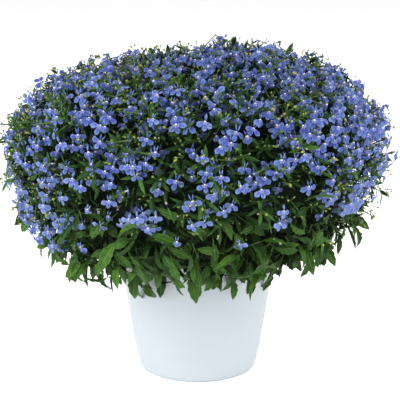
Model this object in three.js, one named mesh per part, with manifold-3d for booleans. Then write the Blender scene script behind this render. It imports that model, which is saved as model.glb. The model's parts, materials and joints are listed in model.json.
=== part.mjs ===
// A bushy trailing lobelia in full flower, growing in a plain tapered cover pot.
// Millimetres, +Z up. The origin is the middle of the pot's foot, on the surface that it stands on.
// The pot holds compost, and the plant is a sheaf of leafy flowering stems that stand in it.
// Each stem with its foliage and flowers is one solid, and keeps to its own share of the dome.

import * as THREE from "three";
import { mergeVertices } from "three/addons/utils/BufferGeometryUtils.js";
import Module from "manifold-3d";

const wasm = await Module();
wasm.setup();

// Pot
const potHeight = 130;
const rimRadius = 75;
const footRadius = 54;
const potWall = 3.2;
const potFloor = 4;
const edgeRound = 5;
const potSides = 36;

// Compost
const compostTop = 117;
const compostRise = 3;
const compostSides = 20;
const clearance = 0.35; // between solids that touch

// Plant. Its sizes are measured from the crown, the point where all the stems meet.
const crownHeight = 138;
const waistHeight = 62; // where the dome is widest
const outerDome = { radius: 168, rise: 92, drop: 124, upperPower: 2.55, lowerPower: 2.25 };
const innerDome = { radius: 155, rise: 79, drop: 109, upperPower: 2.55, lowerPower: 2.25 };
const innerSides = 11;
const underside = [[0, 19], [12, 19], [22, 16.5], [45, 2]]; // [radius, height] of the inner dome over the compost
const stemWidth = 3.6;
const stemDepth = 18; // how far a stem stands in the compost
const stemGap = 0.25; // that each spray keeps from its share's border

// The sprays in rings, from those that hang over the rim to those that stand at the top.
// tilt is a spray's angle above the horizon. Its stem stands foot from the pot's axis and ends at reach.
const rings = [
  { name: "skirt", count: 11, tilt: -11, foot: 51, reach: -1 },
  { name: "side", count: 10, tilt: 17, foot: 34, reach: 14.5 },
  { name: "shoulder", count: 8, tilt: 37, foot: 22, reach: 21 },
  { name: "crest", count: 5, tilt: 57, foot: 12, reach: 24 },
  { name: "top", count: 3, tilt: 79, foot: 4.5, reach: 24 },
];

// Flowers, drawn larger than life so that fewer of them cover the dome. The real ones are 15 mm across.
const flowerRadius = 16;
const flowerSpacing = 25.3;
const flowerLowest = -14; // above the crown
const tubeRadius = 1.9;
const tubeLength = 5.5;

// Leaves: narrow ones among the flowers, and broad toothed ones low down.
const narrowLeaf = { length: 38, width: 7, thickness: 1.4, bend: 5 };
const broadLeaf = { length: 44, width: 14, thickness: 1.5, bend: 12 };
const narrowSpacing = 19.5;
const narrowLowest = 10; // above the crown
const broadSpacing = 19.2;
const broadLowest = -54;
const broadHighest = 28;
const leafRoom = 12; // between a leaf's root and a flower's middle
const leastVolume = 25; // of a leaf or flower, once it is bent clear of the next spray

const upward = new THREE.Vector3(0, 0, 1);

// A seeded random number from 0 to 1, the same on every run.
let randomState = 20260;
function random(low = 0, high = 1) {
  randomState = (randomState + 0x6d2b79f5) | 0;
  let mixed = Math.imul(randomState ^ (randomState >>> 15), 1 | randomState);
  mixed = (mixed + Math.imul(mixed ^ (mixed >>> 7), 61 | mixed)) ^ mixed;
  return low + (high - low) * (((mixed ^ (mixed >>> 14)) >>> 0) / 4294967296);
}

// Solids and geometries

function solidOf(geometry) {
  const bare = geometry.clone();
  bare.deleteAttribute("normal");
  bare.deleteAttribute("uv");
  const merged = mergeVertices(bare, 1e-4);
  return new wasm.Manifold(
    new wasm.Mesh({
      numProp: 3,
      vertProperties: new Float32Array(merged.attributes.position.array),
      triVerts: new Uint32Array(merged.index.array),
    }),
  );
}

function geometryOf(solid) {
  const { vertProperties, triVerts } = solid.getMesh();
  return new THREE.BufferGeometry()
    .setAttribute("position", new THREE.BufferAttribute(vertProperties, 3))
    .setIndex(new THREE.BufferAttribute(triVerts, 1));
}

function facetedSolid(points, triangles) {
  const geometry = new THREE.BufferGeometry()
    .setFromPoints(points)
    .setIndex(triangles.flat());
  return solidOf(geometry);
}

// The largest body of a union: loose scraps and sealed hollows are dropped.
function mainBody(solid) {
  const bodies = solid.decompose().filter((body) => body.volume() > 0);
  return bodies.reduce((most, body) => (body.volume() > most.volume() ? body : most));
}

// A ring-shaped profile of [radius, height] pairs turned about +Z.
function turned(profile, sides) {
  const points = profile.map(([radius, height]) => new THREE.Vector2(radius, height));
  return new THREE.LatheGeometry(points, sides).rotateX(Math.PI / 2);
}

function arc(centreRadius, centreHeight, radius, from, to, steps) {
  return Array.from({ length: steps + 1 }, (_, i) => {
    const angle = THREE.MathUtils.degToRad(from + ((to - from) * i) / steps);
    return [centreRadius + radius * Math.cos(angle), centreHeight + radius * Math.sin(angle)];
  });
}

// Pot

const potTaper = (rimRadius - footRadius) / potHeight;
const potOuter = (height) => footRadius + potTaper * height;
const potInner = (height) => potOuter(height) - potWall;

function potGeometry() {
  const lip = potWall / 2;
  return turned(
    [
      [0, 0],
      ...arc(footRadius - edgeRound, edgeRound, edgeRound, -90, 0, 2),
      ...arc(rimRadius - lip, potHeight - lip, lip, 0, 180, 3),
      [potInner(potFloor + edgeRound), potFloor + edgeRound],
      [potInner(potFloor) - edgeRound, potFloor],
      [0, potFloor],
    ],
    potSides,
  );
}

// Dome

// A point of a dome's profile. Latitude is an angle, negative below the waist and a right angle at the top.
function domeProfile(dome, latitude) {
  const upper = latitude > 0;
  const power = 2 / (upper ? dome.upperPower : dome.lowerPower);
  const height = (upper ? dome.rise : -dome.drop) * Math.abs(Math.sin(latitude)) ** power;
  return [dome.radius * Math.abs(Math.cos(latitude)) ** power, waistHeight + height];
}

// A point at an azimuth and latitude, on the inner dome where depth is 0 and on the outer one where it is 1.
function domePoint(azimuth, latitude, depth) {
  const inner = domeProfile(innerDome, latitude);
  const outer = domeProfile(outerDome, latitude);
  const radius = inner[0] + (outer[0] - inner[0]) * depth;
  const height = inner[1] + (outer[1] - inner[1]) * depth + topLift(azimuth, radius) * depth;
  return new THREE.Vector3(radius * Math.cos(azimuth), radius * Math.sin(azimuth), height);
}

// The plant stands a little higher right of its middle.
function topLift(azimuth, radius) {
  const lift = { height: 13, x: 52, y: 0, spread: 55 };
  const away = Math.hypot(radius * Math.cos(azimuth) - lift.x, radius * Math.sin(azimuth) - lift.y);
  return lift.height * Math.exp(-((away / lift.spread) ** 2));
}

function domeNormal(azimuth, latitude) {
  const step = 0.01;
  const [lowRadius, lowHeight] = domeProfile(outerDome, latitude - step);
  const [highRadius, highHeight] = domeProfile(outerDome, latitude + step);
  const out = new THREE.Vector2(highHeight - lowHeight, lowRadius - highRadius).normalize();
  return new THREE.Vector3(out.x * Math.cos(azimuth), out.x * Math.sin(azimuth), out.y);
}

// Random places spread evenly over the dome between two heights, no two closer than the spacing.
function scatter(spacing, lowest, highest, tries) {
  const places = [];
  const widest = outerDome.radius * outerDome.drop;
  for (let i = 0; i < tries; i++) {
    const azimuth = random(0, 2 * Math.PI);
    const latitude = random(-Math.PI / 2, Math.PI / 2);
    const point = domePoint(azimuth, latitude, 1);
    const step = domePoint(azimuth, latitude + 0.02, 1).distanceTo(point) / 0.02;
    const area = Math.hypot(point.x, point.y) * step;
    if (point.z < lowest || point.z > highest || random() * widest > area) continue;
    if (places.some((place) => place.point.distanceTo(point) < spacing)) continue;
    places.push({ azimuth, latitude, point });
  }
  return places;
}

// Sprays

const sprays = rings.flatMap(({ name, count, tilt, foot, reach }, ring) =>
  Array.from({ length: count }, (_, i) => {
    const azimuth = (2 * Math.PI * (i + 0.5 * (ring % 2) + random(-0.12, 0.12))) / count;
    const angle = THREE.MathUtils.degToRad(tilt + random(-1.5, 1.5));
    const middle = new THREE.Vector3().setFromSphericalCoords(1, Math.PI / 2 - angle, 0);
    middle.set(middle.z * Math.cos(azimuth), middle.z * Math.sin(azimuth), middle.y);
    const number = String(i + 1).padStart(2, "0");
    const hangs = name === "skirt";
    return { name: `spray_${name}_${number}`, hangs, azimuth, middle, foot, reach, growth: [] };
  }),
);

// A spray's share of the dome is all that lies nearer to its own direction than to any other's.
// The planes that bound it all pass the crown, so it is a convex cone.
for (const spray of sprays) {
  spray.borders = sprays
    .filter((other) => other !== spray && other.middle.angleTo(spray.middle) < 1.4)
    .map((other) => new THREE.Plane(spray.middle.clone().sub(other.middle).normalize(), -stemGap));
  const outward = new THREE.Vector3(Math.cos(spray.azimuth), Math.sin(spray.azimuth), 0);
  spray.potFace = new THREE.Plane(outward, -(rimRadius + 2 * clearance));
}

function sprayAt(point) {
  return sprays.reduce((best, spray) =>
    spray.middle.angleTo(point) < best.middle.angleTo(point) ? spray : best,
  );
}

// Bends a point back into a spray's share, with a margin from the border.
function bentClear(spray, point, margin) {
  const planes = spray.hangs ? [...spray.borders, spray.potFace] : spray.borders;
  for (let pass = 0; pass < 6; pass++) {
    for (const plane of planes) {
      const short = margin - plane.distanceToPoint(point);
      if (short > 0) point.addScaledVector(plane.normal, short);
    }
  }
  return point;
}

// The leafy body of each spray: its share of a coarse inner dome, hollow over the compost and the pot.
function innerDomeSolid() {
  const overRim = potHeight - crownHeight + 3 * clearance;
  const besidePot = (rimRadius + 2 * clearance) / Math.cos(Math.PI / innerSides);
  const profile = [
    ...underside,
    [underside.at(-1)[0], overRim],
    [besidePot, overRim],
    [besidePot, overRim - 22],
  ];
  const under = -Math.acos((besidePot + 4) / innerDome.radius);
  for (const latitude of [under, -0.4, 0.25, 0.85]) {
    profile.push(domeProfile(innerDome, latitude));
  }
  profile.push([0, waistHeight + innerDome.rise]);
  return solidOf(turned(profile, innerSides));
}

function bodyOf(spray, dome) {
  return spray.borders.reduce(
    (body, plane) => body.trimByPlane(plane.normal.toArray(), -plane.constant),
    dome,
  );
}

// A three-sided stem from the compost up into the spray's body. Made wider, it is the hole that it stands in.
function stemSolid(spray, extra) {
  const outward = new THREE.Vector3(Math.cos(spray.azimuth), Math.sin(spray.azimuth), 0);
  const sideways = new THREE.Vector3().crossVectors(upward, outward);
  const bottom = compostTop - crownHeight - stemDepth - extra;
  const points = [bottom, spray.reach].flatMap((height) =>
    [0, 1, 2].map((corner) => {
      const turn = (corner * 2 * Math.PI) / 3;
      const half = stemWidth / 2 + 2 * extra;
      return outward
        .clone()
        .multiplyScalar(spray.foot + half * Math.cos(turn))
        .addScaledVector(sideways, half * Math.sin(turn))
        .setZ(height);
    }),
  );
  return facetedSolid(points, [
    [0, 2, 1], [3, 4, 5],
    [0, 1, 4], [0, 4, 3],
    [1, 2, 5], [1, 5, 4],
    [2, 0, 3], [2, 3, 5],
  ]);
}

// Flowers

// The outline of a flower's face: [degrees from its top, share of the flower's radius, how far back it lies].
// Two small lobes stand up, and three broad ones spread below.
const halfOutline = [
  [0, 0.24, 0.5], [24, 0.7, 2.5], [52, 0.28, 0.5],
  [76, 0.95, 1], [115, 1, 1.5], [138, 0.45, 0], [161, 1, 1],
];
const otherHalf = halfOutline.slice(1).reverse().map(([turn, reach, back]) => [-turn, reach, back]);
const flowerOutline = [...halfOutline, ...otherHalf];

function flowerSolid(spray, place) {
  const { azimuth, latitude } = place;
  const lift = random(0.78, 1);
  const centre = domePoint(azimuth, latitude, lift);
  bentClear(spray, centre, 0.55 * flowerRadius);
  const facing = domeNormal(azimuth, latitude)
    .addScaledVector(upward, 0.12)
    .addScaledVector(new THREE.Vector3(random(-1, 1), random(-1, 1), random(-1, 1)), 0.22)
    .normalize();
  const across = new THREE.Vector3().crossVectors(upward, facing).normalize();
  const top = new THREE.Vector3().crossVectors(facing, across);
  const lean = random(-0.35, 0.35);
  const rim = flowerOutline.map(([turn, reach, back]) => {
    const angle = THREE.MathUtils.degToRad(turn) + lean;
    const point = centre
      .clone()
      .addScaledVector(across, flowerRadius * reach * Math.sin(angle))
      .addScaledVector(top, flowerRadius * reach * Math.cos(angle))
      .addScaledVector(facing, -back);
    return bentClear(spray, point, 0.05);
  });
  const throat = centre.clone().addScaledVector(facing, -1.6);
  const root = bentClear(spray, domePoint(azimuth, latitude, -1.2), 2);
  const neck = centre.clone().addScaledVector(facing, -tubeLength);
  const tube = [0, 1, 2].map((corner) => {
    const angle = (corner * 2 * Math.PI) / 3;
    return neck
      .clone()
      .addScaledVector(across, tubeRadius * Math.sin(angle))
      .addScaledVector(top, tubeRadius * Math.cos(angle));
  });
  const points = [...rim, throat, root, ...tube];
  const count = rim.length;
  const [middle, end, ring] = [count, count + 1, count + 2];
  const triangles = [];
  for (let i = 0; i < count; i++) {
    const next = (i + 1) % count;
    const corner = Math.floor((3 * (i + 0.5)) / count + 0.5) % 3;
    const nextCorner = Math.floor((3 * (i + 1.5)) / count + 0.5) % 3;
    triangles.push([middle, next, i], [ring + corner, i, next]);
    if (corner !== nextCorner) triangles.push([ring + corner, next, ring + nextCorner]);
  }
  for (let i = 0; i < 3; i++) triangles.push([ring + i, ring + ((i + 1) % 3), end]);
  return facetedSolid(points, triangles);
}

// Leaves

// Triangles between two rows of points that run side by side, given as indices.
function zipped(left, right) {
  const triangles = [];
  let [i, j] = [0, 0];
  while (i < left.length - 1 || j < right.length - 1) {
    const leftNext = i < left.length - 1 && (i + 1) * (right.length - 1) <= (j + 1) * (left.length - 1);
    const triangle = leftNext || j === right.length - 1
      ? [left[i], right[j], left[++i]]
      : [left[i], right[j], right[++j]];
    if (new Set(triangle).size === 3) triangles.push(triangle);
  }
  return triangles;
}

// A blade from its root along a bent midrib. edge holds [share of the length, share of half the width]
// for each point of its margin, and the blade is thickest along the rib and thin at the margin.
function bladeSolid(spray, root, along, face, leaf, edge) {
  const across = new THREE.Vector3().crossVectors(along, face).normalize();
  const above = new THREE.Vector3().crossVectors(across, along).normalize();
  const rib = (share) =>
    root
      .clone()
      .addScaledVector(along, leaf.length * share)
      .addScaledVector(above, -leaf.bend * share * share);
  const points = [];
  const add = (point, margin) => points.push(bentClear(spray, point, margin)) - 1;
  const [start, tip] = [add(rib(0), 1), add(rib(1), 0.05)];
  const half = leaf.thickness / 2;
  const side = (sign) =>
    edge.map(([share, width]) =>
      add(rib(share).addScaledVector(across, (sign * width * leaf.width) / 2), 0.05),
    );
  const ridge = (sign) => [add(rib(0.5).addScaledVector(above, sign * half), 0.05)];
  const [left, right, upper, lower] = [side(-1), side(1), ridge(1), ridge(-1)].map((row) => [
    start,
    ...row,
    tip,
  ]);
  return facetedSolid(points, [
    ...zipped(left, upper),
    ...zipped(upper, right),
    ...zipped(right, lower),
    ...zipped(lower, left),
  ]);
}

const narrowEdge = [[0.5, 1]];
const broadEdge = [[0.36, 0.72], [0.58, 1], [0.62, 0.74], [0.82, 0.62]];

function narrowLeafSolid(spray, { azimuth, latitude }) {
  const root = bentClear(spray, domePoint(azimuth, latitude, -0.35), 2);
  const outward = domeNormal(azimuth, latitude);
  const along = outward
    .clone()
    .addScaledVector(upward, 0.3)
    .addScaledVector(new THREE.Vector3(random(-1, 1), random(-1, 1), random(-1, 1)), 1.1)
    .normalize();
  const face = upward.clone().addScaledVector(outward, 0.6);
  return bladeSolid(spray, root, along, face, narrowLeaf, narrowEdge);
}

function broadLeafSolid(spray, { azimuth, latitude }) {
  const root = bentClear(spray, domePoint(azimuth, latitude, -0.35), 2);
  const outward = domeNormal(azimuth, latitude);
  const along = outward
    .clone()
    .setZ(Math.max(outward.z, -0.35))
    .addScaledVector(upward, random(-1.2, -0.2))
    .addScaledVector(new THREE.Vector3(random(-1, 1), random(-1, 1), 0), 0.5)
    .normalize();
  const face = outward.clone().setZ(0.5);
  const size = random(0.75, 1.05);
  const leaf = { ...broadLeaf, length: broadLeaf.length * size, width: broadLeaf.width * size };
  return bladeSolid(spray, root, along, face, leaf, broadEdge);
}

// Each place's leaf or flower joins the spray that it lies in.
function grow(places, make) {
  for (const place of places) {
    const spray = sprayAt(place.point);
    const solid = make(spray, place);
    if (solid.volume() > leastVolume) spray.growth.push(solid);
  }
}

const flowerPlaces = scatter(flowerSpacing, flowerLowest, Infinity, 9000);
const beside = ({ point }) => flowerPlaces.every((flower) => flower.point.distanceTo(point) > leafRoom);
grow(flowerPlaces, flowerSolid);
grow(scatter(narrowSpacing, narrowLowest, Infinity, 9000).filter(beside), narrowLeafSolid);
grow(scatter(broadSpacing, broadLowest, broadHighest, 9000).filter(beside), broadLeafSolid);

// The whole object

const glazed = new THREE.MeshStandardMaterial({ color: 0xe1ebf2, roughness: 0.42, metalness: 0 });
const peaty = new THREE.MeshStandardMaterial({ color: 0x33261c, roughness: 0.95, metalness: 0 });
const leafy = new THREE.MeshStandardMaterial({ color: 0x3f6a2b, roughness: 0.55, metalness: 0 });

const pottedLobelia = new THREE.Group();
const plant = new THREE.Group();
plant.position.z = crownHeight;
pottedLobelia.add(plant);

function addPiece(group, name, geometry, material) {
  const mesh = new THREE.Mesh(geometry, material);
  mesh.name = name;
  group.add(mesh);
}

addPiece(pottedLobelia, "pot", potGeometry(), glazed);

function compostGeometry() {
  const floor = potFloor + clearance;
  const side = (height) => potInner(height) - clearance / Math.cos(Math.PI / potSides) - 0.4;
  const plug = solidOf(
    turned(
      [
        [0, floor],
        [side(floor) - edgeRound, floor],
        [side(floor + edgeRound), floor + edgeRound],
        [side(compostTop), compostTop],
        [side(compostTop) * 0.5, compostTop + compostRise],
        [0, compostTop + compostRise],
      ],
      compostSides,
    ),
  );
  const holes = sprays.map((spray) => stemSolid(spray, clearance).translate([0, 0, crownHeight]));
  return geometryOf(holes.reduce((soil, hole) => soil.subtract(hole), plug));
}

addPiece(pottedLobelia, "compost", compostGeometry(), peaty);

const dome = innerDomeSolid();
for (const spray of sprays) {
  const pieces = [stemSolid(spray, 0), ...spray.growth];
  const whole = pieces.reduce((body, piece) => body.add(piece), bodyOf(spray, dome));
  addPiece(plant, spray.name, geometryOf(mainBody(whole)), leafy);
}

export default pottedLobelia;
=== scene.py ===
# %% [markdown]
# # A potted lobelia
# A trailing lobelia is a sheaf of thin stems that spreads into a rounded dome and hides the rim of its pot.
# The dome is covered with small blue flowers. Narrow leaves stand between them, and broader, toothed leaves
# hang over the pot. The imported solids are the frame: every spray here grows where its solid stands.

# %% Load the frame
import json
import math
import random

import bpy
from mathutils import Matrix, Vector, noise

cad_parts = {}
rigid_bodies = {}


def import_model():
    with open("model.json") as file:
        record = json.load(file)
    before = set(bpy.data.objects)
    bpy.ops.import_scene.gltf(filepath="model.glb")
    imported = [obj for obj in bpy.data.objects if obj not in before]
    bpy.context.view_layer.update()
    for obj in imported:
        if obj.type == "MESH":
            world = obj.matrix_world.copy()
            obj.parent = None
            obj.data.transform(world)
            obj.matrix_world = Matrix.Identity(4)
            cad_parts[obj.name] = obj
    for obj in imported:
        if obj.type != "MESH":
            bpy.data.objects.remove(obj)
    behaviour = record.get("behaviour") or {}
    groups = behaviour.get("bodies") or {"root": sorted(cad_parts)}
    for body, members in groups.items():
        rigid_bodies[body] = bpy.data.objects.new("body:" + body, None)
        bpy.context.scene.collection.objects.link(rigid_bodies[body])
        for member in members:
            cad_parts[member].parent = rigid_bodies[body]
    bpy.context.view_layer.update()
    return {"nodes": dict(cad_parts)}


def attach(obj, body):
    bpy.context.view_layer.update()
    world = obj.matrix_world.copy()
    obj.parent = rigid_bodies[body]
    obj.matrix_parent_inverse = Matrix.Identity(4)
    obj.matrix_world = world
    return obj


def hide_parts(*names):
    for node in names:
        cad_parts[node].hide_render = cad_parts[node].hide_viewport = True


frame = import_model()
sprays = sorted(name for name in frame["nodes"] if name.startswith("spray_"))

# %% [markdown]
# ## Sizes
# The part is drawn in millimetres and the scene in metres, so sizes are written in millimetres and
# multiplied by one constant. The plant is a dome, flatter above than below. Its tips lie a little inside the
# solid model's outline, because petals and leaves stand out of it, and its core lies a finger's width deeper.

# %% The sizes of the pot and the dome
MM = 0.001
CROWN = 138  # height of the point where the stems meet
WAIST = 62  # the dome's widest height, above the crown
TIPS = {"radius": 169, "rise": 84, "drop": 115, "upper": 2.85, "lower": 2.2}  # upper, lower: how square it is
CORE_DOME = {"radius": 139, "rise": 54, "drop": 98, "upper": 2.7, "lower": 2.2}
LIFT = {"height": 16, "x": 44, "spread": 70}  # a soft hill on the top


def profile(dome, latitude):
    """Radius and height of a dome's outline at a latitude, in millimetres above the crown."""
    power = 2 / (dome["upper"] if latitude > 0 else dome["lower"])
    reach = dome["rise"] if latitude > 0 else -dome["drop"]
    radius = dome["radius"] * abs(math.cos(latitude)) ** power
    return radius, WAIST + reach * abs(math.sin(latitude)) ** power


def dome_point(dome, azimuth, latitude):
    """A point of a dome in metres. The top is a little higher right of the middle."""
    radius, height = profile(dome, latitude)
    x, y = radius * math.cos(azimuth), radius * math.sin(azimuth)
    away = math.hypot(x - LIFT["x"], y) / LIFT["spread"]
    height += LIFT["height"] * math.exp(-away * away) * ease(math.degrees(latitude), 0, 40)
    return Vector((x, y, height + CROWN)) * MM


def ease(value, low, high):
    """0 at low, 1 at high, and smooth between."""
    share = min(1.0, max(0.0, (value - low) / (high - low)))
    return share * share * (3 - 2 * share)


for label, latitude in (("side", 0), ("top", math.pi / 2)):
    print(label, "of the dome:", [round(v, 3) for v in dome_point(TIPS, 0, latitude)])

# %% [markdown]
# ## Camera and light
# The picture was taken from a little above, with a long lens, against plain white. The camera's height
# and distance were fitted to the pot's outline. Two wide lamps stand at the sides, one stands behind, and a weak
# one low in front lights the leaves over the pot. A very soft sun, from above the camera and a little to the
# left, stands for the tent's roof. Together they keep the shadows between the leaves deep without a hard edge
# anywhere.

# %% Aim the camera
camera = bpy.data.objects.new("camera", bpy.data.cameras.new("camera"))
bpy.context.collection.objects.link(camera)
bpy.context.scene.camera = camera
camera.data.sensor_width = 36
camera.data.lens = 158.4
camera.data.clip_end = 20
camera.location = (0.0023, -1.549, 0.5574)
target = Vector((0.0023, 0, 0.1568))
camera.rotation_euler = (target - camera.location).to_track_quat("-Z", "Y").to_euler()
print("camera distance:", round((target - camera.location).length, 3))


# %% Hang the lamps
def soft_lamp(name, place, aim, size, power):
    """A square area lamp that faces a point."""
    lamp = bpy.data.objects.new(name, bpy.data.lights.new(name, "AREA"))
    bpy.context.collection.objects.link(lamp)
    lamp.data.size = size
    lamp.data.energy = power
    lamp.location = place
    lamp.rotation_euler = (Vector(aim) - Vector(place)).to_track_quat("-Z", "Y").to_euler()


PLANT_MIDDLE, LOW_LEAVES = (0, 0, 0.18), (0, 0, 0.15)
soft_lamp("lamp_left", (-1.25, -0.55, 0.75), PLANT_MIDDLE, 1.2, 25)
soft_lamp("lamp_right", (1.25, -0.45, 0.75), PLANT_MIDDLE, 1.2, 19)
soft_lamp("lamp_low", (-0.2, -1.6, 0.25), LOW_LEAVES, 1.0, 4)
tent = bpy.data.objects.new("lamp_tent", bpy.data.lights.new("lamp_tent", "SUN"))
bpy.context.collection.objects.link(tent)
tent.data.energy, tent.data.angle = 1.8, math.radians(35)
tent.rotation_euler = (math.radians(42), math.radians(-12), 0)
soft_lamp("lamp_back", (0.3, 1.5, 0.9), PLANT_MIDDLE, 1.2, 15)
bpy.context.scene.view_settings.view_transform = "Standard"

# %% [markdown]
# ## Nodes as Python sums
# Materials and Geometry Nodes are trees of nodes. Written out node by node they are long and hard to read,
# so one small class wraps a socket and turns +, -, *, > and abs into Math nodes, and one method adds any other.
# A material and a growing rule are two kinds of the same wiring.


# %% A socket that can be added and multiplied
class Value:
    """A number, colour or direction that varies, held by a socket of a tree."""

    def __init__(self, wiring, socket):
        self.wiring, self.socket = wiring, socket

    def maths(self, operation, first, second=0.0):
        return self.wiring.node("ShaderNodeMath", {"operation": operation}, {0: first, 1: second})

    def __add__(self, other):
        return self.maths("ADD", self, other)

    def __sub__(self, other):
        return self.maths("SUBTRACT", self, other)

    def __rsub__(self, other):
        return self.maths("SUBTRACT", other, self)

    def __mul__(self, other):
        return self.maths("MULTIPLY", self, other)

    def __gt__(self, other):
        return self.maths("GREATER_THAN", self, other)

    def __abs__(self):
        return self.maths("ABSOLUTE", self)

    def sine(self):
        return self.maths("SINE", self)

    __radd__, __rmul__ = __add__, __mul__


class Wiring:
    """A tree of nodes in the making."""

    def node(self, kind, settings=None, values=None, output=0):
        """Adds a node, sets it up, feeds its sockets, and gives back one of its outputs."""
        node = self.tree.nodes.new(kind)
        for name, setting in (settings or {}).items():
            setattr(node, name, setting)
        for name, value in (values or {}).items():
            for one in value if isinstance(value, list) else [value]:
                if isinstance(one, Value):
                    self.tree.links.new(one.socket, node.inputs[name])
                else:
                    node.inputs[name].default_value = one
        return Value(self, node.outputs[output])

    def band(self, value, low, high):
        """0 below low, 1 above high, and smooth between. Low may be the larger, which turns it round."""
        return self.node(
            "ShaderNodeMapRange", {"interpolation_type": "SMOOTHSTEP"}, {0: value, 1: low, 2: high, 3: 0.0, 4: 1.0}
        )


class Finish(Wiring):
    """A material in the making, with its Principled shader."""

    def __init__(self, name, **sockets):
        self.material = bpy.data.materials.new(name)
        self.material.use_nodes = True
        self.tree = self.material.node_tree
        self.shader = self.tree.nodes["Principled BSDF"]
        for socket, value in sockets.items():
            self.shader.inputs[self.plain(socket)].default_value = value

    @staticmethod
    def plain(name):
        return name.replace("_", " ").title().replace("Ior", "IOR")

    def attribute(self, name):
        return self.node("ShaderNodeAttribute", {"attribute_name": name}, output="Fac")

    def height(self):
        """Height above the floor in metres."""
        return self.node("ShaderNodeSeparateXYZ", None, {0: self.node("ShaderNodeTexCoord", output="Object")}, 2)

    def noise(self, scale, detail=3.0):
        place = self.node("ShaderNodeTexCoord", output="Object")
        return self.node("ShaderNodeTexNoise", None, {"Vector": place, "Scale": scale, "Detail": detail})

    def mix(self, share, first, second):
        """A colour between two colours, each a tuple or a Value."""
        pair = {6: first, 7: second}
        sides = {k: v if isinstance(v, Value) else (*v, 1) for k, v in pair.items()}
        return self.node("ShaderNodeMix", {"data_type": "RGBA"}, {0: share, **sides}, 2)

    def paint(self, colour, *layers):
        """A colour with others laid over it in turn, each given as its share and the colour."""
        for share, over in layers:
            colour = self.mix(share, colour, over)
        return colour

    def feed(self, **sockets):
        """Links values to the shader's sockets."""
        for name, value in sockets.items():
            self.tree.links.new(value.socket, self.shader.inputs[self.plain(name)])

    def of_kind(self, kind, wanted):
        """1 where a point's kind is the wanted one, and 0 elsewhere."""
        return self.band(abs(kind - wanted), 0.6, 0.4)

    def bump(self, height, distance, strength):
        values = {"Height": height, "Distance": distance, "Strength": strength}
        self.feed(normal=self.node("ShaderNodeBump", None, values))


print("wiring helpers are ready")

# %% [markdown]
# ## The studio
# A white tent stands round the plant. It is brightest low down, where it is the background of the picture,
# and dimmer above, so that the leaves still shade each other.


# %% Put up the white tent
class Studio(Wiring):
    """The world's tree, with its Background shader."""

    def __init__(self):
        world = bpy.data.worlds.new("studio")
        bpy.context.scene.world = world
        world.use_nodes = True
        self.tree = world.node_tree
        self.sky = self.tree.nodes["Background"]
        self.sky.inputs["Color"].default_value = (1, 1, 1, 1)


studio = Studio()
up = studio.node("ShaderNodeSeparateXYZ", None, {0: studio.node("ShaderNodeTexCoord", output="Generated")}, 2)
ABOVE, ADDED_BELOW = 0.36, 0.68
brightness = ABOVE + studio.band(up, 0.2, 0.1) * ADDED_BELOW
studio.tree.links.new(brightness.socket, studio.sky.inputs["Strength"])
print("studio nodes:", len(studio.tree.nodes))

# %% [markdown]
# ## The floor
# A wide pale sheet that glows a little, so that it is as white as the tent. It isn't part of the object.


# %% Lay the floor
def mesh_object(name, points, faces):
    """A new object from points in metres and faces, with its place in its mesh."""
    mesh = bpy.data.meshes.new(name)
    mesh.from_pydata([tuple(p) for p in points], [], faces)
    mesh.shade_smooth()
    mesh.validate()
    thing = bpy.data.objects.new(name, mesh)
    bpy.context.collection.objects.link(thing)
    return thing


floor = mesh_object("floor", [(-4, -4, 0), (4, -4, 0), (4, 4, 0), (-4, 4, 0)], [(0, 1, 2, 3)])
paper = Finish("floor_paper", base_color=(0.93, 0.93, 0.93, 1), roughness=0.9, emission_strength=0.19)
paper.shader.inputs["Emission Color"].default_value = (1, 1, 1, 1)
floor.data.materials.append(paper.material)
print("floor laid")

# %% [markdown]
# ## The pot
# A smooth tapered pot with a softly rounded lower edge. It could be the solid itself, but that has flat
# sides. One outline turned in many steps gives the same pot with a round wall. The glaze is a cool,
# nearly white satin, with a faint clouding and the fine rings that a potter's wheel or a mould leaves.


# %% Turn the pot
def turned(name, outline, sides):
    """A closed solid of revolution. Its outline is a list of (radius, height) in millimetres that starts and
    ends on the axis."""
    points, faces, rows = [], [], []
    for radius, height in outline:
        count = 1 if radius == 0 else sides
        rows.append([len(points) + k for k in range(count)])
        for k in range(count):
            angle = 2 * math.pi * k / sides
            points.append(Vector((radius * math.cos(angle), radius * math.sin(angle), height)) * MM)
    for low, high in zip(rows, rows[1:]):
        for k in range(sides):
            corners = [low[k % len(low)], low[(k + 1) % len(low)], high[(k + 1) % len(high)], high[k % len(high)]]
            faces.append(list(dict.fromkeys(corners)))
    return mesh_object(name, points, faces)


def rounded(radius, height, size, start, end, steps=8):
    """Points of an arc about a centre, from one angle to another in degrees."""
    angles = [math.radians(start + (end - start) * k / steps) for k in range(steps + 1)]
    return [(radius + size * math.cos(a), height + size * math.sin(a)) for a in angles]


FOOT, MOUTH, HEIGHT = 54, 75, 130  # the pot's two radii and its height, in millimetres
WALL, EDGE, TAPER = 3.2, 5, (MOUTH - FOOT) / HEIGHT
pot_outline = [(0, 0), (30, 0)]
pot_outline += rounded(FOOT - EDGE, EDGE, EDGE, -90, -9.2)
pot_outline += [(FOOT + TAPER * h, h) for h in (20, 45, 70, 95, 115)]
pot_outline += rounded(MOUTH - WALL / 2, HEIGHT - WALL / 2, WALL / 2, 0, 180)
pot_outline += [(FOOT + TAPER * h - WALL, h) for h in (100, 60, 9)]
pot_outline += [(50, 5.2), (46, 4), (0, 4)]
pot = turned("glazed_pot", pot_outline, sides=96)
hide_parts("pot")
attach(pot, "root")
print("pot:", len(pot.data.polygons), "faces")

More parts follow.
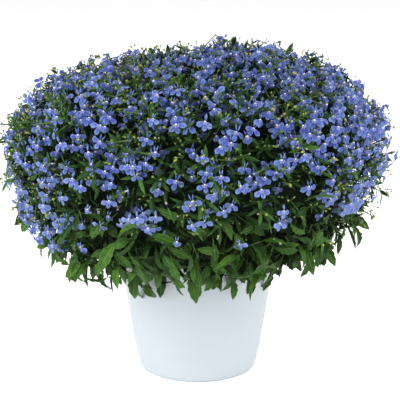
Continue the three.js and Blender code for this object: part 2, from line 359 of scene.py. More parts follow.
# %% Glaze the pot
glaze = Finish("pale_glaze", roughness=0.36, coat_weight=0.15, coat_roughness=0.25)
cloud, speck = glaze.noise(14, 4), glaze.noise(420, 2)
RINGS = 1900  # radians in a metre, which is a ring every 3.3 mm
rings = (glaze.height() * RINGS + cloud * 5).sine()
tone = glaze.mix(cloud, (0.345, 0.386, 0.416), (0.381, 0.422, 0.451))
glaze.feed(base_color=glaze.mix(glaze.band(speck, 0.66, 0.74) * 0.25, tone, (0.34, 0.38, 0.41)))
glaze.feed(roughness=0.30 + cloud * 0.16)
glaze.bump(rings * 0.12 + speck * 0.25, 0.0003, 0.35)
pot.data.materials.append(glaze.material)
print("glaze nodes:", len(glaze.tree.nodes))

# %% [markdown]
# ## The compost
# The compost fills the pot to just under its rim. Its solid already has the right shape and the holes that
# the stems stand in, so it stays, and gets the look of damp peat.

# %% Darken the compost
peat = Finish("damp_peat", roughness=0.95)
grain, lumps = peat.noise(650, 5), peat.noise(120, 4)
peat.feed(base_color=peat.mix(grain * 1.3 - 0.2, (0.010, 0.007, 0.005), (0.060, 0.040, 0.025)))
peat.bump(grain + lumps * 2, 0.002, 0.8)
compost = frame["nodes"]["compost"]
for seat in compost.material_slots:
    seat.material = peat.material
print("compost:", len(compost.data.polygons), "triangles")

# %% [markdown]
# ## Leaves and petals
# A leaf and a petal are both thin blades: pointed at each end, widest somewhere between, folded along the
# middle and bent back. One function makes them all as closed shells of a few faces, with a top and an
# underside that share a sharp rim. It also writes down how far along and across the blade each point lies,
# so that the finishes can paint veins, eyes and edges.


# %% A shape in the making
PETAL, TUBE, FADED = 0, 2, 4  # the kind of a face, written to its points: these get the petals' finish
LEAF, STEM, BUD, CORE, BROAD = 6, 8, 10, 12, 14  # and these the greenery's
FIRST_GREEN = 5  # any kind above this is green
UNDERSIDE = 0.5  # added to the kind on the underside of a broad leaf


class Shape:
    """Points, faces and painted values of a small form that is repeated many times."""

    def __init__(self):
        self.points, self.faces, self.sharp = [], [], []
        self.values = {"along": [], "across": [], "kind": []}

    def point(self, place, along=0.0, across=0.0, kind=0.0):
        self.points.append(Vector(place))
        for name, value in (("along", along), ("across", across), ("kind", kind)):
            self.values[name].append(value)
        return len(self.points) - 1

    def add(self, other, matrix=None):
        start = len(self.points)
        self.points += [matrix @ p for p in other.points] if matrix else other.points
        self.faces += [[i + start for i in face] for face in other.faces]
        self.sharp += [(a + start, b + start) for a, b in other.sharp]
        for name in self.values:
            self.values[name] += other.values[name]

    def build(self, name, collection):
        """Makes the object, its millimetres turned into metres, in a collection that the scene doesn't show."""
        thing = mesh_object(name, [p * MM for p in self.points], self.faces)
        mesh = thing.data
        for name, numbers in self.values.items():
            mesh.attributes.new(name, "FLOAT", "POINT").data.foreach_set("value", numbers)
        rims = {tuple(sorted(pair)) for pair in self.sharp}
        edge_marks = mesh.attributes.new("sharp_edge", "BOOLEAN", "EDGE")
        for edge, mark in zip(mesh.edges, edge_marks.data):
            mark.value = tuple(sorted(edge.vertices)) in rims
        bpy.context.collection.objects.unlink(thing)
        collection.objects.link(thing)
        return thing


def blade(length, widths, thick, fold, bend, kind, along=0.0, ripple=0.0, twist=0.0, blunt=1.0):
    """A closed blade along +Y, its upper face towards +Z. widths are half widths in millimetres, at even steps
    where blunt is 1 and nearer the tip, which rounds it, where blunt is less. A broad leaf's underside has a
    ridge of its own. The others, which fold downwards, are flat below, which saves a third of their faces."""
    shape = Shape()
    steps = len(widths) + 1

    def spine(share):
        return Vector((0, length * share * (1 - 0.12 * bend * share), -0.3 * bend * length * share * share))

    def put(place, share, across, under=0.0):
        return shape.point(place, along + (1 - along) * share, across, kind + under)

    start = put(spine(0), 0, 0)
    rows = []
    for k, half in enumerate(widths, 1):
        share = (k / steps) ** blunt
        turn = Matrix.Rotation(twist * share, 3, "Y")
        middle, swell = spine(share), turn @ Vector((0, 0, thick / 2))
        lift = fold * half + ripple * (-1) ** k
        row = [
            put(middle + turn @ Vector((-half, 0, lift)), share, -1),
            put(middle + swell, share, 0),
            put(middle + turn @ Vector((half, 0, lift)), share, 1),
        ]
        rows.append(row + [put(middle - swell, share, 0, UNDERSIDE)] if kind == BROAD else row)
    tip = put(spine(1), 1, 0)
    left, upper, right, *lower = zip(*rows)
    if not lower:
        shape.faces += [[start, left[0], right[0]], [right[-1], left[-1], tip]]
        for k in range(len(rows) - 1):
            shape.faces.append([right[k], left[k], left[k + 1], right[k + 1]])
    for ridge, first, last in ((upper, left, right), *((ridge, right, left) for ridge in lower)):
        shape.faces += [[start, ridge[0], first[0]], [start, last[0], ridge[0]]]
        for k in range(len(rows) - 1):
            shape.faces += [
                [first[k], ridge[k], ridge[k + 1], first[k + 1]],
                [ridge[k], last[k], last[k + 1], ridge[k + 1]],
            ]
        shape.faces += [[first[-1], ridge[-1], tip], [ridge[-1], last[-1], tip]]
    for edge in (left, upper, right) if kind >= LEAF else (left, right):
        chain = [start, *edge, tip]
        shape.sharp += list(zip(chain, chain[1:]))
    return shape


def rod(path, thicknesses, sides, kind):
    """A closed stalk through points, with a radius at each point. A radius of 0 at the end makes it a spike."""
    shape = Shape()
    rows = []
    across = (path[1] - path[0]).orthogonal()
    for k, (place, radius) in enumerate(zip(path, thicknesses)):
        heading = (path[min(k + 1, len(path) - 1)] - path[max(k - 1, 0)]).normalized()
        across = (across - heading * across.dot(heading)).normalized()
        other = heading.cross(across)
        ring = []
        for n in range(sides if radius else 1):
            angle = 2 * math.pi * n / sides
            offset = across * math.cos(angle) + other * math.sin(angle)
            ring.append(shape.point(place + offset * radius, k / (len(path) - 1), 0, kind))
        rows.append(ring)
    for low, high in zip(rows, rows[1:]):
        for n in range(sides):
            corners = [low[n], low[(n + 1) % sides], high[(n + 1) % len(high)], high[n % len(high)]]
            shape.faces.append(list(dict.fromkeys(corners)))
    shape.faces.append(rows[0][::-1])
    if len(rows[-1]) > 1:
        shape.faces.append(rows[-1])
    return shape


def facing(place, heading, normal):
    """The matrix that puts a shape at a place, its +Y along heading and its +Z near normal."""
    heading = heading.normalized()
    side = heading.cross(normal).normalized()
    upper = side.cross(heading)
    turn = Matrix((side, heading, upper)).transposed().to_4x4()
    return Matrix.Translation(place) @ turn


print("a test blade has", len(blade(20, [1, 2, 1], 0.4, -0.2, 0.5, 0).faces), "faces")

# %% [markdown]
# ## Flowers
# A lobelia flower is about 15 mm across. Three broad lobes spread below a white eye with two yellow marks,
# and two narrow lobes stand up above it. Behind the face a thin violet tube runs back into a small green
# cup, on a thread of a stalk. Six variants, open and half open, are enough to look natural.


# %% Shape the flowers
growths = {name: bpy.data.collections.new(name) for name in ("flowers", "twigs", "broad_leaves", "buds", "strays")}
UP = Vector((0, 0, 1))


def slanted(angle, rise):
    """A direction at an angle in degrees in the XY plane, with a rise."""
    return Vector((math.cos(math.radians(angle)), math.sin(math.radians(angle)), rise))


LOBE = (1.6, 2.35, 1.95)  # half widths of a broad lobe, from its foot to its tip


def flower(cup, spread, size, rng):
    """A flower that faces +Z with its upper lobes towards +Y. cup is how far its lobes bend back."""
    shape = Shape()
    for turn in (-spread, 0, spread):
        width = size * rng.uniform(0.9, 1.08) * (0.92 if turn == 0 else 1.0)
        length = size * rng.uniform(6.9, 7.9)
        fold, bend = rng.uniform(-0.45, -0.1), cup + rng.uniform(-0.2, 0.5)
        lobe = blade(length, [w * width for w in LOBE], 0.4, fold, bend, PETAL, blunt=0.75)
        heading = slanted(-90 + turn + rng.uniform(-7, 7), -0.12 - 0.3 * cup + rng.uniform(-0.12, 0.12))
        shape.add(lobe, facing(Vector((0, -0.2, 0)), heading, UP))
    for turn in (-6, 6):
        lobe = blade(rng.uniform(5.2, 6.4) * size, [0.62 * size], 0.35, -0.2, cup * 0.5 + 0.3, PETAL, 0.45)
        heading = slanted(90 + turn + rng.uniform(-9, 9), rng.uniform(-0.1, 0.3))
        shape.add(lobe, facing(Vector((-turn / 13, 0.5, -0.2)), heading, UP))
    back = [Vector((0, 0.2, -0.5)), Vector((0, -1, -6.2))]
    shape.add(rod(back, [0.85, 0.75], 4, TUBE))
    shape.add(rod([back[-1] - UP * 0.4, back[-1] + UP * 2.2], [0.7, 1.7], 5, STEM))
    stalk = [back[-1] + UP * 0.5, back[-1] + Vector((0.2, -1.4, -2.6)), back[-1] + Vector((1.0, -6, -15))]
    shape.add(rod(stalk, [1.05, 0.52, 0.42], 3, STEM))
    return shape


shape_seed = random.Random(7)
for number, (cup, spread, size) in enumerate(
    [(0.15, 64, 1.0), (0.35, 70, 1.02), (0.05, 57, 0.97), (0.55, 60, 0.98), (0.25, 74, 1.02), (0.8, 46, 0.88)]
):
    bloom = flower(cup, spread, size, shape_seed).build(f"flower_{number}", growths["flowers"])

# %% [markdown]
# ## Leafy twigs, broad leaves and buds
# Between the flowers stand thin stems with narrow leaves that turn round them in a spiral. Lower down the
# leaves are broader and toothed, and those hang over the pot. Buds and seed cups sit on short threads, some
# green and some already blue at the tip, and here and there a flower has faded to a pinkish straw colour.


# %% Shape the twigs
def narrow_leaf(length, width, rng):
    widths = [width * 0.48, width * 0.44]
    return blade(length, widths, 0.4, -0.28, rng.uniform(0.2, 1.1), LEAF, ripple=rng.uniform(-0.1, 0.1))


def bud(place, heading, size, kind=BUD):
    """A small round bud or seed cup on a thread, from a place along a heading."""
    shape = Shape()
    base = place + heading * 6 * size
    shape.add(rod([place, base], [0.36, 0.4], 3, STEM))
    widest, end = base + heading * 1.4 * size, base + heading * 3.3 * size
    shape.add(rod([base, widest, end], [0.6 * size, 1.2 * size, 0], 4, kind))
    return shape


SPIRAL = 137.5  # degrees from one leaf to the next


def twig(length, leaves, rng, first_leaf):
    """A stem along +Z with two buds at its tip, and narrow leaves in a spiral that starts a share of the way up."""
    shape = Shape()
    sway = Vector((rng.uniform(-4, 4), rng.uniform(-4, 4), 0))
    stem = [Vector((0, 0, 0)), UP * length * 0.5 + sway * 0.4, UP * length + sway]
    shape.add(rod(stem, [0.7, 0.6, 0.48], 3, STEM))
    for n in range(leaves):
        share = first_leaf + (1 - first_leaf) * n / leaves
        place = UP * length * share + sway * share
        heading = slanted(SPIRAL * n + rng.uniform(-25, 25), rng.uniform(0.4, 1.3))
        leaf = narrow_leaf(rng.uniform(13, 20), rng.uniform(2.6, 4.0), rng)
        shape.add(leaf, facing(place, heading, UP + slanted(rng.uniform(0, 360), 0) * 0.25))
    for _ in range(2):
        heading = slanted(rng.uniform(0, 360), 1.4).normalized()
        shape.add(bud(stem[-1] - UP, heading, rng.uniform(0.75, 1.0)))
    return shape


for number in range(9):
    sprig = twig(shape_seed.uniform(17, 25), 6 + number % 3, shape_seed, 0.1)
    sprig = sprig.build(f"twig_{number}", growths["twigs"])
for number in range(3):
    stray = twig(shape_seed.uniform(28, 33), 7, shape_seed, 0.45)
    tip = max(stray.points, key=lambda p: p.z)
    for turn in (20, 190):
        bloom = flower(0.3, 60, 0.95, shape_seed)
        stray.add(bloom, facing(UP * (tip.z - 6) + slanted(turn, 0.2) * 9, slanted(turn, 1.2), slanted(turn, 0.3)))
    stray.build(f"stray_{number}", growths["strays"])

# %% Shape the broad leaves and the buds
TOOTHED = (1.4, 2.8, 3.0, 4.6, 4.2, 4.9, 3.9, 3.5, 1.8)  # half widths of a broad leaf: every other one is a tooth
for number in range(10):
    length, width = shape_seed.uniform(15, 29), shape_seed.uniform(0.62, 1.0)
    bend, twist = shape_seed.uniform(0.1, 1.7), shape_seed.uniform(-0.8, 0.8)
    fold, widths = shape_seed.uniform(0.2, 0.7), [w * width for w in TOOTHED]
    leaf = blade(length, widths, 0.5, fold, bend, BROAD, ripple=0.2, twist=twist)
    leaf.add(rod([Vector((0, 0.5, 0)), Vector((0, -6 - 2 * (number % 4), -1.5))], [0.6, 0.45], 3, STEM))
    leaf.build(f"broad_leaf_{number}", growths["broad_leaves"])
for number in range(8):
    cluster = Shape()
    for _ in range(2):
        heading = slanted(shape_seed.uniform(0, 360), shape_seed.uniform(0.6, 2.0)).normalized()
        cluster.add(bud(UP * -4, heading, shape_seed.uniform(0.7, 1.1), FADED if number == 7 else BUD))
    cluster.build(f"buds_{number}", growths["buds"])

# %% [markdown]
# ## Where each spray grows
# The dome is laid out as one net of small faces, a little under the flowers. Each face belongs to the spray
# whose solid points most nearly its way, so every spray keeps the place that the imported model gives it. Its
# share of the net becomes a thin core, painted nearly black as painted shade in the gaps between the leaves. The
# net also carries what grows there: how far out the tips reach, how thickly flowers stand, and where the broad
# leaves hang.
# On the left the plant is denser, so the core stands further out there. The lower edge, or hem, rises and
# falls with seeded noise, because the lowest leaves hang unevenly over the pot.


# %% Lay out the net
AROUND, LATITUDES = 120, [-68 + 4 * k for k in range(39)]
CROWN_POINT = Vector((0, 0, CROWN)) * MM
CORE_ROOM, TIP_ROOM = 4, 6  # how far the core and the tips keep from the pot, in millimetres


def clear_of_pot(place, room):
    """Moves a point outwards where it would lie in the pot's wall."""
    if place.z > (HEIGHT + 6) * MM:
        return place
    least = (FOOT + TAPER * place.z / MM + room) * MM
    radius = math.hypot(place.x, place.y)
    push = max(1.0, least / max(radius, 1e-6))
    return Vector((place.x * push, place.y * push, place.z))


def bulge(azimuth, latitude):
    """How far in millimetres the plant stands out of the plain dome: soft lumps, and a fuller lower edge."""
    spot = Vector((math.cos(azimuth), math.sin(azimuth), latitude)) * 2.2
    lumps = 4 * noise.noise(spot + Vector((3, 1, 5)))
    lumps += 2.5 * noise.noise(spot * 2.7)
    lumps += 3 * noise.noise(spot * 6)
    level, side = math.degrees(latitude), math.cos(azimuth)
    low = ease(level, -12, -40) * ease(level, -75, -50)
    waist = 5 * ease(abs(side), 0.6, 1.0) * ease(abs(level), 32, 8)
    shoulder = 3 * ease(side, 0.5, 1.0) * ease(level, 5, 20) * ease(level, 60, 35)
    return lumps + waist + shoulder + low * (8 * ease(-side, 0.3, 0.95) - 9 * ease(side, 0.0, 0.8))


def flower_share(azimuth, latitude):
    """How thickly flowers stand, from 0 to 1: most on the right, few low in the middle, none over the pot."""
    level = math.degrees(latitude)
    right, left = ease(math.cos(azimuth), 0.25, 0.9), ease(-math.cos(azimuth), 0.4, 0.95)
    front = ease(-math.sin(azimuth), 0.6, 0.98)
    low = ease(level, -40 + 21 * right - 14 * left + 5 * front, -10 + 22 * right - 14 * left + 20 * front)
    middle = 0.09 * front * ease(level, 45, 10) + 0.03 * front * ease(level, 12, -10) + 0.05 * left
    patchy = 0.95 * noise.noise(slanted(math.degrees(azimuth), 1.6 * latitude) * 6.5)
    return max(0.0, low * (0.53 + 0.55 * right - middle + patchy * (1 - 0.5 * right)))


DENSER = 6  # how far the core stands further out on the left, in millimetres
HEM = {"lift": 22, "least": 0.4, "waves": 7, "seed": 235}  # lift in millimetres
core_points, reaches = [], []
grows = {"bloom": [], "skirt": [], "edge": [], "top": [], "lush": []}
for latitude in map(math.radians, LATITUDES + [90]):
    level = math.degrees(latitude)
    for k in range(AROUND if level < 89 else 1):
        azimuth = 2 * math.pi * k / AROUND
        side = math.cos(azimuth)
        dense = ease(-side, 0.4, 0.85) * ease(abs(level - 15), 40, 20)
        place = clear_of_pot(dome_point(CORE_DOME, azimuth, latitude), CORE_ROOM)
        tip = dome_point(TIPS, azimuth, latitude)
        out = slanted(math.degrees(azimuth), 0.0)
        away = out * math.cos(latitude) + UP * math.sin(latitude)
        place, tip = place + away * dense * DENSER * MM, tip + away * bulge(azimuth, latitude) * MM
        ragged = HEM["least"] + noise.noise(out * HEM["waves"] + UP * HEM["seed"])
        hem = UP * HEM["lift"] * MM * ragged * ease(level, -35, -62)
        place, tip = clear_of_pot(place + hem, CORE_ROOM), tip + hem
        core_points.append(place)
        reaches.append(clear_of_pot(tip, TIP_ROOM) - place)
        sideways = ease(abs(side), 0.5, 0.95)
        grows["bloom"].append(flower_share(azimuth, latitude))
        grows["skirt"].append(ease(level, 2 - 16 * sideways, -22 - 14 * sideways))
        grows["edge"].append(ease(level, -44, -60))
        grows["top"].append(ease(level, 20, 60))
        grows["lush"].append(ease(-side, 0.5, 0.9) * ease(abs(level), 50, 25))
net = []
for row in range(len(LATITUDES)):
    for k in range(AROUND):
        a, b = row * AROUND + k, row * AROUND + (k + 1) % AROUND
        top = (row + 1) * AROUND
        net.append((a, b, top) if row == len(LATITUDES) - 1 else (a, b, b + AROUND, a + AROUND))
print("net:", len(net), "faces")

# %% Give each spray its share of the net
headings = []
for name in sprays:
    far = [v.co - CROWN_POINT for v in frame["nodes"][name].data.vertices if (v.co - CROWN_POINT).length > 0.1]
    headings.append(sum(far, Vector()).normalized())
shares = {name: [] for name in sprays}
for face in net:
    middle = sum((core_points[i] + reaches[i] for i in face), Vector()) / len(face) - CROWN_POINT
    nearest = max(range(len(sprays)), key=lambda n: headings[n].dot(middle.normalized()))
    shares[sprays[nearest]].append(face)
print("smallest share:", min(len(v) for v in shares.values()), "largest:", max(len(v) for v in shares.values()))


# %% Make the core of a spray
CORE_DEPTH = 0.82  # where the inside of the core's shell lies on the way out from the crown
BORDER_BLOOM = 0.7  # flowers are sparser where two sprays meet, so that they don't crowd there
OVER_RIM = 143  # the height at which a stem goes over the pot's rim, in millimetres


def stems_of(name):
    """Three thin stems from a spray's hole in the compost up to its core, in millimetres."""
    within = [v.co for v in frame["nodes"][name].data.vertices if math.hypot(v.co.x, v.co.y) < 58 * MM]
    foot = sum(sorted(within, key=lambda p: p.z)[:3], Vector()) / 3 / MM
    faces = shares[name]
    shape = Shape()
    for n in range(3):
        corner = core_points[faces[len(faces) * (2 * n + 1) // 6][0]]
        goal = (CROWN_POINT + (corner - CROWN_POINT) * 0.9) / MM
        start = foot + slanted(120 * n, 0) * 0.9
        rise = start + UP * 34
        top = max(goal.z * 0.6 + rise.z * 0.4, OVER_RIM)
        bend = Vector((goal.x * 0.7 + foot.x * 0.3, goal.y * 0.7 + foot.y * 0.3, top))
        shape.add(rod([start, rise, bend, goal], [0.8, 0.8, 0.7, 0.6], 5, STEM))
    return shape


def core_of(name):
    """A closed shell under a spray's share of the net, its stems, and what grows on it written to its points."""
    faces = shares[name]
    used = sorted({i for face in faces for i in face})
    place = {index: n for n, index in enumerate(used)}
    count, stems = len(used), stems_of(name)
    inner = [clear_of_pot(CROWN_POINT + (core_points[i] - CROWN_POINT) * CORE_DEPTH, 1.5) for i in used]
    outside = [[place[i] for i in face] for face in faces]
    inside = [[i + count for i in reversed(face)] for face in outside]
    sides = {(a, b) for face in outside for a, b in zip(face, face[1:] + face[:1])}
    walls = [(b, a, a + count, b + count) for a, b in sorted(sides) if (b, a) not in sides]
    border = {a for a, b in sides if (b, a) not in sides}
    shell = outside + inside + walls
    below = [[i + 2 * count for i in face] for face in stems.faces]
    points = [core_points[i] for i in used] + inner + [p * MM for p in stems.points]
    core = mesh_object(f"{name}_growth", points, shell + below)
    none = [0.0] * (len(points) - count)

    def write(label, numbers, kind="FLOAT", domain="POINT", key="value"):
        core.data.attributes.new(label, kind, domain).data.foreach_set(key, numbers)

    for label, numbers in grows.items():
        here = [numbers[i] for i in used]
        if label == "bloom":
            here = [v * (BORDER_BLOOM if place[i] in border else 1.0) for i, v in zip(used, here)]
        write(label, here + none)
    write("reach", [c for i in used for c in reaches[i]] + none * 3, "FLOAT_VECTOR", key="vector")
    # The shell's kind, which the greenery paints nearly black as painted shade.
    write("kind", [CORE] * 2 * count + stems.values["kind"])
    open_faces = [1.0] * len(outside) + [0.0] * (len(shell + below) - len(outside))
    write("open_air", open_faces, domain="FACE")
    return core


print("cores come as the sprays grow")

# %% [markdown]
# ## The growing rule
# One tree of Geometry Nodes grows every spray. It scatters points over the core, no two closer than a given
# spacing, moves each out along the reach written there and a little way at random, turns it, and puts a random
# variant of a twig, leaf, flower or bud on it. The little way at random keeps flowers from lining up along the
# borders of the sprays. Each kind has its own row in a table, so a denser or shaggier plant is one number away.
# Broad leaves thin out towards the hem, where single large ones hang lower. Last, every point learns how far it
# is from the core, its painted daylight: what stands deep between the leaves is painted darker, as shade.


# %% Write the growing rule
class Growth(Wiring):
    """A tree of Geometry Nodes in the making, with named inputs."""

    def __init__(self, name):
        self.tree = bpy.data.node_groups.new(name, "GeometryNodeTree")
        for way in ("INPUT", "OUTPUT"):
            self.tree.interface.new_socket("Geometry", in_out=way, socket_type="NodeSocketGeometry")
        self.inlet, self.outlet = self.tree.nodes.new("NodeGroupInput"), self.tree.nodes.new("NodeGroupOutput")
        self.identifiers = {}

    def input(self, name, kind, default):
        socket = self.tree.interface.new_socket(name, in_out="INPUT", socket_type="NodeSocket" + kind)
        socket.default_value = default
        self.identifiers[name] = socket.identifier
        return Value(self, self.inlet.outputs[name])

    def named(self, name, kind="FLOAT"):
        return self.node("GeometryNodeInputNamedAttribute", {"data_type": kind}, {"Name": name})

    def arrow(self, operation, first, second):
        """Vector maths. SCALE takes a number second."""
        slot = 3 if operation == "SCALE" else 1
        return self.node("ShaderNodeVectorMath", {"operation": operation}, {0: first, slot: second})

    def chance(self, low, high, seed):
        """A random number, or a random direction where low and high are tuples."""
        spread = isinstance(low, tuple)
        kind, first, output = ("FLOAT_VECTOR", 0, 0) if spread else ("FLOAT", 2, 1)
        return self.node(
            "FunctionNodeRandomValue", {"data_type": kind}, {first: low, first + 1: high, "Seed": seed}, output
        )


WANDER = 3.5  # how far a point may stray each way, in millimetres


def planted(growth, seed, shapes, spacing, share, depth, face, heading, wobble, sizes):
    """Scatters the shapes of a collection over the core and turns each by its face (Z) and heading (Y).
    face and heading are how far to go along the core's normal, outwards, up, and towards the front."""
    scattered = growth.node(
        "GeometryNodeDistributePointsOnFaces",
        {"distribute_method": "POISSON"},
        {
            "Mesh": Value(growth, growth.inlet.outputs["Geometry"]),
            "Selection": growth.named("open_air") > 0.5,
            "Distance Min": spacing,
            "Density Max": 60000.0,
            "Density Factor": share,
            "Seed": seed,
        },
    )
    normal = Value(growth, scattered.socket.node.outputs["Normal"])
    reach = growth.arrow("SCALE", growth.named("reach", "FLOAT_VECTOR"), growth.chance(*depth, seed + 1))
    wander = growth.arrow("SCALE", growth.chance((-1, -1, -1), (1, 1, 1), seed + 7), WANDER * MM)
    offset = growth.arrow("ADD", reach, wander)
    moved = growth.node("GeometryNodeSetPosition", None, {"Geometry": scattered, "Offset": offset})
    place = growth.node("GeometryNodeInputPosition")
    out = growth.arrow("NORMALIZE", growth.arrow("MULTIPLY", place, (1, 1, 0)), (0, 0, 0))

    def aimed(along_normal, along_out, upwards, to_front, seed):
        both = [growth.arrow("SCALE", normal, along_normal), growth.arrow("SCALE", out, along_out)]
        aim = growth.arrow("ADD", growth.arrow("ADD", *both), (0, -to_front, upwards))
        return growth.arrow("ADD", aim, growth.arrow("SCALE", growth.chance((-1, -1, -1), (1, 1, 1), seed), wobble))

    turn = growth.node(
        "FunctionNodeAxesToRotation",
        {"primary_axis": "Z", "secondary_axis": "Y"},
        {0: aimed(*face, seed + 2), 1: aimed(*heading, seed + 3)},
    )
    variants = growth.node(
        "GeometryNodeCollectionInfo", None, {"Collection": shapes, "Separate Children": True, "Reset Children": True}
    )
    placed = growth.node(
        "GeometryNodeInstanceOnPoints",
        None,
        {
            "Points": moved,
            "Instance": variants,
            "Pick Instance": True,
            "Instance Index": growth.node(
                "FunctionNodeRandomValue", {"data_type": "INT"}, {4: 0, 5: 1000, "Seed": seed + 4}, 2
            ),
            "Rotation": turn,
            "Scale": growth.chance(*sizes, seed + 5),
        },
    )
    return growth.node(
        "GeometryNodeStoreNamedAttribute",
        {"data_type": "FLOAT", "domain": "INSTANCE"},
        {"Geometry": placed, "Name": "chance", "Value": growth.chance(0.0, 1.0, seed + 6)},
    )


growth = Growth("growing_rule")
seed = growth.input("Seed", "Int", 0)
bloom, skirt, edge, top, lush = (growth.named(label) for label in grows)
above_skirt = 1 - skirt
crowded = growth.band(bloom, 0.75, 1.1)  # where flowers stand so thickly that twigs have less room
twig_share = 0.76 + lush * 0.24 - skirt * 0.74 - crowded * 0.3
leaf_share, bud_share = skirt * (1 - edge * 0.6), above_skirt * (top * 0.5 + 0.5)
inner_share = bloom * above_skirt * 0.85
UPRIGHT, NODDING = (0, 0, 1, 0), (0, -0.3, 1, 0)  # headings: straight up, and up but leaning in
# What each row says: spacing in millimetres, share of the points that are used,
# depth from the core (0) to the tips (1), face (normal, outwards, up, to the front), heading, wobble, sizes.
table = {
    "flowers": (6.1, bloom, (0.7, 1.04), (0.5, 0.55, 0.06, 0.5), NODDING, top * 0.45 + 0.5, (0.94, 1.18)),
    "twigs": (8.2, twig_share, (-0.35, 0.42), (0.8, 0.3, 0.1, 0), UPRIGHT, 0.5, (0.8, 1.05)),
    "broad_leaves": (4.0, leaf_share, (-0.25, 0.9), (0.6, 0.4, 0.4, 0), (0, 0.15, -0.8, 0), 1.0, (0.72, 1.25)),
    "buds": (9.5, bud_share, (0.75, 1.1), (0.9, 0.3, 0.4, 0), UPRIGHT, 0.7, (0.75, 1.1)),
    "strays": (60.0, above_skirt, (-0.4, -0.15), (0.8, 0.3, 0.4, 0), UPRIGHT, 0.3, (0.85, 1.0)),
    "inner_flowers": (9.0, inner_share, (0.2, 0.65), (0.5, 0.6, 0.2, 0.3), NODDING, 0.8, (0.85, 1.05)),
    "low_broad_leaves": (12.0, edge * 0.7, (0.5, 1.0), (0.4, 0.9, 0.2, 0), (0, 0.1, -1, 0), 0.3, (1.1, 1.4)),
}
stands = []
for number, (name, (spacing, share, *rest)) in enumerate(table.items()):
    space = growth.input(f"{name} spacing", "Float", spacing * MM)
    shapes = growth.input(name, "Collection", growths[name.removeprefix("inner_").removeprefix("low_")])
    stands.append(planted(growth, seed + 100 * number, shapes, space, share, *rest))
petal_input, green_input = growth.input("petals", "Material", None), growth.input("greenery", "Material", None)
body = Value(growth, growth.inlet.outputs["Geometry"])
whole = growth.node("GeometryNodeJoinGeometry", None, {0: [body, *stands]})
whole = growth.node("GeometryNodeRealizeInstances", None, {0: whole})
DIM, BRIGHT = 8, 30  # how far from the core the painted daylight starts and is full, in millimetres: nearer in, painted shade
gap = growth.node("GeometryNodeProximity", {"target_element": "FACES"}, {0: body}, "Distance")
whole = growth.node(
    "GeometryNodeStoreNamedAttribute",
    {"data_type": "FLOAT", "domain": "POINT"},
    {"Geometry": whole, "Name": "daylight", "Value": growth.band(gap, DIM * MM, BRIGHT * MM)},
)
whole = growth.node("GeometryNodeSetMaterial", None, {"Geometry": whole, "Material": petal_input})
green = {"Selection": growth.named("kind") > FIRST_GREEN, "Material": green_input}
whole = growth.node("GeometryNodeSetMaterial", None, {"Geometry": whole, **green})
growth.tree.links.new(whole.socket, growth.outlet.inputs[0])
print("growing rule:", len(growth.tree.nodes), "nodes")

# %% [markdown]
# ## Petals and greenery
# Each finish starts from a ground colour and lays others over it, each with its own share.
# The petals are a soft violet blue, paler towards the rim and deeper towards the eye, which is white with
# yellow marks. Those low on the plant are painted a little paler, as painted light. The leaves are a fresh mid
# green, and the broad ones have a paler midrib, rim and underside. Both vary from one to the next, which the
# random number on each of them gives. Leaves near the top are painted slightly darker, as painted shade, and the
# core inside is painted nearly black, as the shade between the leaves. What stands deep near the core gets
# painted shade as well.

# %% Colour the petals
DEEP_SHADE, PAINTED_SHADE_GREEN = (0.010, 0.012, 0.055), (0.004, 0.012, 0.003)  # painted shade for petals and leaves out of daylight
petals = Finish("petals", roughness=0.6, specular_ior_level=0.15)
along, across, kind, chance = (petals.attribute(name) for name in ("along", "across", "kind", "chance"))
mottle, cloud = petals.noise(420, 3), petals.noise(130, 2)
side, height = abs(across), petals.height()
vein = petals.band((side * 9).sine(), 0.2, 0.9) * petals.band(along, 1.0, 0.5)
eye = petals.band(along, 0.30, 0.21) * (petals.band(side, 0.3, 0.8) * 0.85 + 0.15)
throat = petals.mix(petals.band(chance, 0.55, 0.75), (0.13, 0.10, 0.34), (0.42, 0.38, 0.62))
# painted light: the lowest flowers are painted paler
low = petals.band(height, 0.215, 0.185) * (petals.band(height, 0.145, 0.180) * 0.75 + 0.25)
shade = petals.paint(
    petals.mix(petals.band(chance, 0.1, 0.9), (0.037, 0.070, 0.225), (0.107, 0.162, 0.365)),
    (petals.band(cloud, 0.52, 0.72) * 0.6, (0.165, 0.245, 0.485)),  # pale clouds
    (petals.band(cloud, 0.48, 0.30) * 0.6, (0.028, 0.050, 0.22)),  # deep clouds
    (petals.band(side, 0.55, 1.0) * 0.35, (0.235, 0.31, 0.54)),  # the rim
    (petals.band(along, 0.6, 1.0) * 0.35, (0.175, 0.245, 0.47)),  # the tip
    (vein * 0.85, (0.022, 0.036, 0.20)),
    (petals.band(side, 0.16, 0.02) * petals.band(along, 0.9, 0.5) * 0.45, (0.044, 0.052, 0.25)),  # the middle line
    (petals.band(along, 0.55, 0.35) * 0.55, (0.048, 0.052, 0.27)),  # deeper towards the eye
    (eye, (0.64, 0.70, 0.81)),
    (petals.band(along, 0.12, 0.08) * petals.band(side, 0.12, 0.3) * 0.8, (0.60, 0.48, 0.10)),  # yellow marks
    (petals.of_kind(kind, TUBE), petals.mix(petals.band(along, 0.2, 0.05), throat, (0.66, 0.71, 0.80))),
    (petals.of_kind(kind, FADED), petals.mix(mottle, (0.20, 0.15, 0.115), (0.38, 0.32, 0.25))),
    (low * 0.18, (0.26, 0.34, 0.58)),  # painted light: paler low on the plant
)
# painted shade: petals near the core are darkened
daylight = petals.band(petals.attribute("daylight"), 0.0, 0.8)
petals.feed(base_color=petals.mix(daylight, petals.mix(0.7, shade, DEEP_SHADE), shade))
petals.bump(vein + mottle, 0.0002, 0.4)
print("petal nodes:", len(petals.tree.nodes))

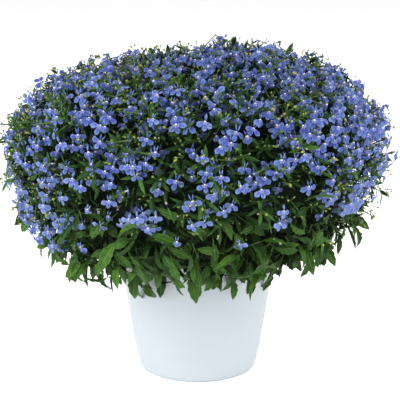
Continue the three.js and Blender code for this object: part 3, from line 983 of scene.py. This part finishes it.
# %% Colour the greenery
greenery = Finish("greenery", roughness=0.5, specular_ior_level=0.09)
along, across, kind, chance = (greenery.attribute(name) for name in ("along", "across", "kind", "chance"))
mottle, blotch, fine = greenery.noise(180, 3), greenery.noise(90, 2), greenery.noise(300, 3)
side, height, daylight = abs(across), greenery.height(), greenery.attribute("daylight")
midrib = greenery.band(side, 0.16, 0.03)
ribs = greenery.band((side * 5 - along * 24).sine(), 0.6, 1.0)
broad = greenery.band(kind, BROAD - 0.6, BROAD - 0.4)
fresh = greenery.paint(
    greenery.mix(chance * 0.85 + blotch * 0.7 - 0.32, (0.004, 0.020, 0.002), (0.040, 0.112, 0.010)),
    (greenery.band((chance * 40).sine(), 0.3, 0.9) * 0.4, (0.010, 0.046, 0.014)),  # bluer leaves here and there
    (greenery.band(fine, 0.45, 0.65) * 0.35, (0.066, 0.145, 0.018)),
    (greenery.band(side, 0.75, 1.0) * 0.4, (0.090, 0.165, 0.030)),  # the rim
    (midrib * 0.55, (0.110, 0.200, 0.050)),
)
ripe = greenery.mix(greenery.band(chance, 0.35, 0.95), (0.10, 0.18, 0.04), (0.36, 0.37, 0.08))
blue_tip = greenery.band(along, 0.4, 0.8) * greenery.band(chance, 0.86, 0.92)
shade = greenery.paint(
    greenery.mix(chance * (0.4 + chance * 0.6), (0.005, 0.024, 0.004), (0.046, 0.117, 0.020)),
    (greenery.band(mottle, 0.4, 0.8) * 0.4, (0.048, 0.116, 0.026)),
    (midrib * 0.4 + ribs * 0.1, (0.10, 0.18, 0.055)),
    (broad * (1 - ribs * 0.15), fresh),
    (greenery.band(abs(kind - (BROAD + UNDERSIDE)), 0.5, 0.1) * 0.5, (0.06, 0.11, 0.04)),
    (greenery.of_kind(kind, STEM), greenery.mix(chance, (0.045, 0.10, 0.025), (0.085, 0.15, 0.045))),
    (greenery.of_kind(kind, BUD), greenery.mix(blue_tip, ripe, (0.09, 0.09, 0.34))),
)
# Painted shade: the core shell is painted nearly black, as the shade in the gaps.
painted_shade_core = greenery.of_kind(kind, CORE)
# Painted shade: greenery near the core is darkened.
shade = greenery.paint(
    greenery.mix(daylight, greenery.mix(0.85, shade, PAINTED_SHADE_GREEN), shade),
    (greenery.band(height, 0.235, 0.285) * 0.22, PAINTED_SHADE_GREEN),  # painted shade: darker near the top
    # painted shade: the core shell nearly black
    (painted_shade_core, greenery.mix(mottle, (0.001, 0.004, 0.002), (0.006, 0.013, 0.004))),
)
greenery.feed(base_color=shade, roughness=0.42 + mottle * 0.2 + painted_shade_core * 0.3 - broad * 0.1)
greenery.bump(ribs + mottle + midrib * 2, 0.0006, 0.6)
print("greenery nodes:", len(greenery.tree.nodes))

# %% [markdown]
# ## Grow the sprays
# Each spray's core gets the growing rule with its own seed and its two finishes. The result is kept as a plain
# mesh. Thin stems join the core to the hole in the compost where its solid stands.


# %% Grow them one by one
FIRST_SEED, SEED_STEP = 1000, 37
total = 0
for number, name in enumerate(sprays):
    core = core_of(name)
    rule = core.modifiers.new("growth", "NODES")
    rule.node_group = growth.tree
    finishes = {"petals": petals.material, "greenery": greenery.material}
    for label, value in {"Seed": FIRST_SEED + SEED_STEP * number, **finishes}.items():
        rule[growth.identifiers[label]] = value
    graph = bpy.context.evaluated_depsgraph_get()
    mesh = bpy.data.meshes.new_from_object(core.evaluated_get(graph), preserve_all_data_layers=True, depsgraph=graph)
    core.modifiers.clear()
    core.data = mesh
    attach(core, "root")
    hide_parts(name)
    mesh.calc_loop_triangles()
    total += len(mesh.loop_triangles)
print("sprays grown:", len(sprays), "triangles:", total)

# %% Clear the patterns away
for collection in growths.values():
    for thing in list(collection.objects):
        bpy.data.objects.remove(thing)
    bpy.data.collections.remove(collection)
